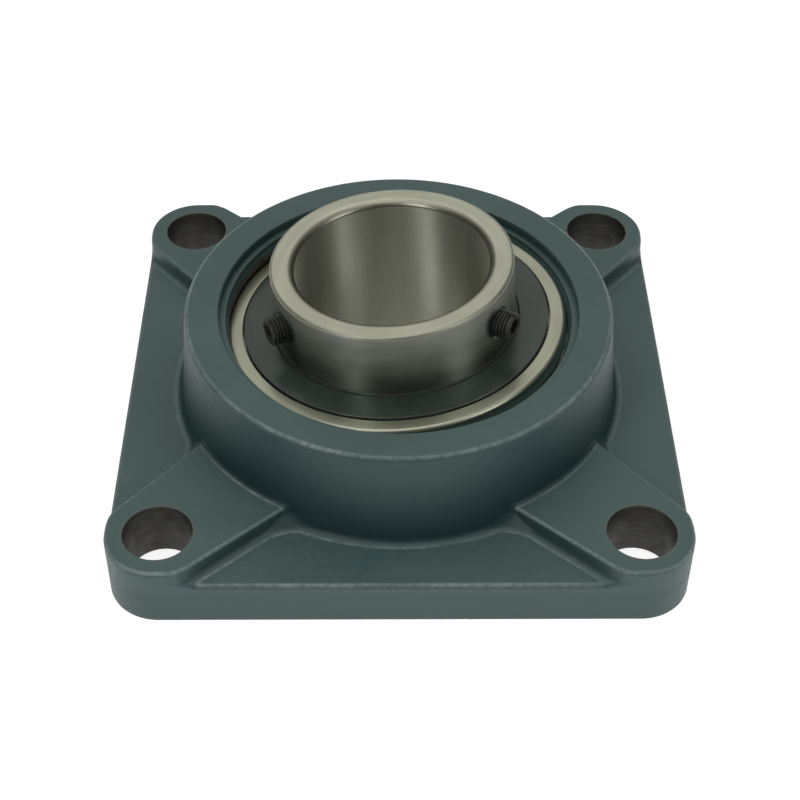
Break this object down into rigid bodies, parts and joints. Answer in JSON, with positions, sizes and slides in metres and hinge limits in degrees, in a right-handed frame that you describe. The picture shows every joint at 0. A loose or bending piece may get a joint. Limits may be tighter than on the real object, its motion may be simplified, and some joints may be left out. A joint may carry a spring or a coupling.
{
  "type": "flange bearing unit",
  "caption": "Square flange bearing unit: a painted cast housing with corner bolt holes and a self-aligning ball bearing insert that clamps a shaft with set screws.",
  "frame": {"origin": "on the housing's axis, in the plane of the machined mounting face", "axes": "+Z out of the mounting face along the housing's axis, towards the side with the set screws; -Y is the side nearest the picture's camera, and the grease nipple is at +Y"},
  "size_m": [0.159, 0.159, 0.0616],
  "materials": {
    "housing_paint": "satin",
    "ring_steel": "satin",
    "ball_steel": "polished",
    "cage_steel": "satin",
    "seal_rubber": "matte",
    "core_steel": "satin",
    "slinger_steel": "satin",
    "black_steel": "satin",
    "nipple_steel": "satin",
    "spring_steel": "satin"
  },
  "bodies": {
    "housing": {"housing": "housing_paint", "nipple_body": "nipple_steel", "nipple_spring": "spring_steel"},
    "nipple_check": {"nipple_ball": "ball_steel"},
    "insert_outer": {"outer_ring": "ring_steel", "seal_front": "seal_rubber", "seal_front_core": "core_steel", "seal_rear": "seal_rubber", "seal_rear_core": "core_steel"},
    "insert_inner": {"inner_ring": "ring_steel", "slinger_front": "slinger_steel", "slinger_rear": "slinger_steel"},
    "cage": {"cage_front": "cage_steel", "cage_rear": "cage_steel", "cage_rivets": "cage_steel"},
    "screw_left": {"set_screw_left": "black_steel"},
    "screw_right": {"set_screw_right": "black_steel"},
    "ball_01": {"ball_01": "ball_steel"},
    "ball_02": {"ball_02": "ball_steel"},
    "ball_03": {"ball_03": "ball_steel"},
    "ball_04": {"ball_04": "ball_steel"},
    "ball_05": {"ball_05": "ball_steel"},
    "ball_06": {"ball_06": "ball_steel"},
    "ball_07": {"ball_07": "ball_steel"},
    "ball_08": {"ball_08": "ball_steel"},
    "ball_09": {"ball_09": "ball_steel"},
    "ball_10": {"ball_10": "ball_steel"}
  },
  "joints": [
    {"name": "align_tilt", "type": "hinge", "parent": "housing", "child": "insert_outer", "pos_m": [0, 0, 0.026], "axis": [-0.4695, -0.8829, 0], "range_deg": [-8.7, 0.2]},
    {"name": "shaft_spin", "type": "hinge", "parent": "insert_outer", "child": "insert_inner", "pos_m": [0, 0, 0.026], "axis": [-0.0654, 0.0348, 0.9973], "continuous": true},
    {"name": "cage_orbit", "type": "hinge", "parent": "insert_outer", "child": "cage", "pos_m": [0, 0, 0.026], "axis": [-0.0654, 0.0348, 0.9973], "continuous": true},
    {"name": "ball_01_spin", "type": "hinge", "parent": "cage", "child": "ball_01", "pos_m": [0.03867, 0.00004, 0.02854], "axis": [-0.0654, 0.0348, 0.9973], "continuous": true},
    {"name": "ball_02_spin", "type": "hinge", "parent": "cage", "child": "ball_02", "pos_m": [0.03131, 0.0228, 0.02726], "axis": [-0.0654, 0.0348, 0.9973], "continuous": true},
    {"name": "ball_03_spin", "type": "hinge", "parent": "cage", "child": "ball_03", "pos_m": [0.01199, 0.03684, 0.0255], "axis": [-0.0654, 0.0348, 0.9973], "continuous": true},
    {"name": "ball_04_spin", "type": "hinge", "parent": "cage", "child": "ball_04", "pos_m": [-0.01191, 0.03682, 0.02393], "axis": [-0.0654, 0.0348, 0.9973], "continuous": true},
    {"name": "ball_05_spin", "type": "hinge", "parent": "cage", "child": "ball_05", "pos_m": [-0.03126, 0.02273, 0.02316], "axis": [-0.0654, 0.0348, 0.9973], "continuous": true},
    {"name": "ball_06_spin", "type": "hinge", "parent": "cage", "child": "ball_06", "pos_m": [-0.03867, -0.00004, 0.02346], "axis": [-0.0654, 0.0348, 0.9973], "continuous": true},
    {"name": "ball_07_spin", "type": "hinge", "parent": "cage", "child": "ball_07", "pos_m": [-0.03131, -0.0228, 0.02474], "axis": [-0.0654, 0.0348, 0.9973], "continuous": true},
    {"name": "ball_08_spin", "type": "hinge", "parent": "cage", "child": "ball_08", "pos_m": [-0.01199, -0.03684, 0.0265], "axis": [-0.0654, 0.0348, 0.9973], "continuous": true},
    {"name": "ball_09_spin", "type": "hinge", "parent": "cage", "child": "ball_09", "pos_m": [0.01191, -0.03682, 0.02807], "axis": [-0.0654, 0.0348, 0.9973], "continuous": true},
    {"name": "ball_10_spin", "type": "hinge", "parent": "cage", "child": "ball_10", "pos_m": [0.03126, -0.02273, 0.02884], "axis": [-0.0654, 0.0348, 0.9973], "continuous": true},
    {"name": "screw_left_travel", "type": "slide", "parent": "insert_inner", "child": "screw_left", "axis": [-0.884, -0.4656, -0.0418], "range_m": [-0.0014, 0.005]},
    {"name": "screw_right_travel", "type": "slide", "parent": "insert_inner", "child": "screw_right", "axis": [0.8428, -0.5331, 0.0739], "range_m": [-0.0014, 0.005]},
    {"name": "nipple_valve", "type": "slide", "parent": "housing", "child": "nipple_check", "axis": [0, -1, 0], "range_m": [0, 0.001], "stiffness_N_per_m": 200, "springref_m": -0.001, "deforming": ["nipple_spring"]}
  ],
  "couplings": [
    {"joint": "cage_orbit", "follows": "shaft_spin", "ratio": 0.40782},
    {"joint": "ball_01_spin", "follows": "shaft_spin", "ratio": -2.6199},
    {"joint": "ball_02_spin", "follows": "shaft_spin", "ratio": -2.6199},
    {"joint": "ball_03_spin", "follows": "shaft_spin", "ratio": -2.6199},
    {"joint": "ball_04_spin", "follows": "shaft_spin", "ratio": -2.6199},
    {"joint": "ball_05_spin", "follows": "shaft_spin", "ratio": -2.6199},
    {"joint": "ball_06_spin", "follows": "shaft_spin", "ratio": -2.6199},
    {"joint": "ball_07_spin", "follows": "shaft_spin", "ratio": -2.6199},
    {"joint": "ball_08_spin", "follows": "shaft_spin", "ratio": -2.6199},
    {"joint": "ball_09_spin", "follows": "shaft_spin", "ratio": -2.6199},
    {"joint": "ball_10_spin", "follows": "shaft_spin", "ratio": -2.6199}
  ]
}
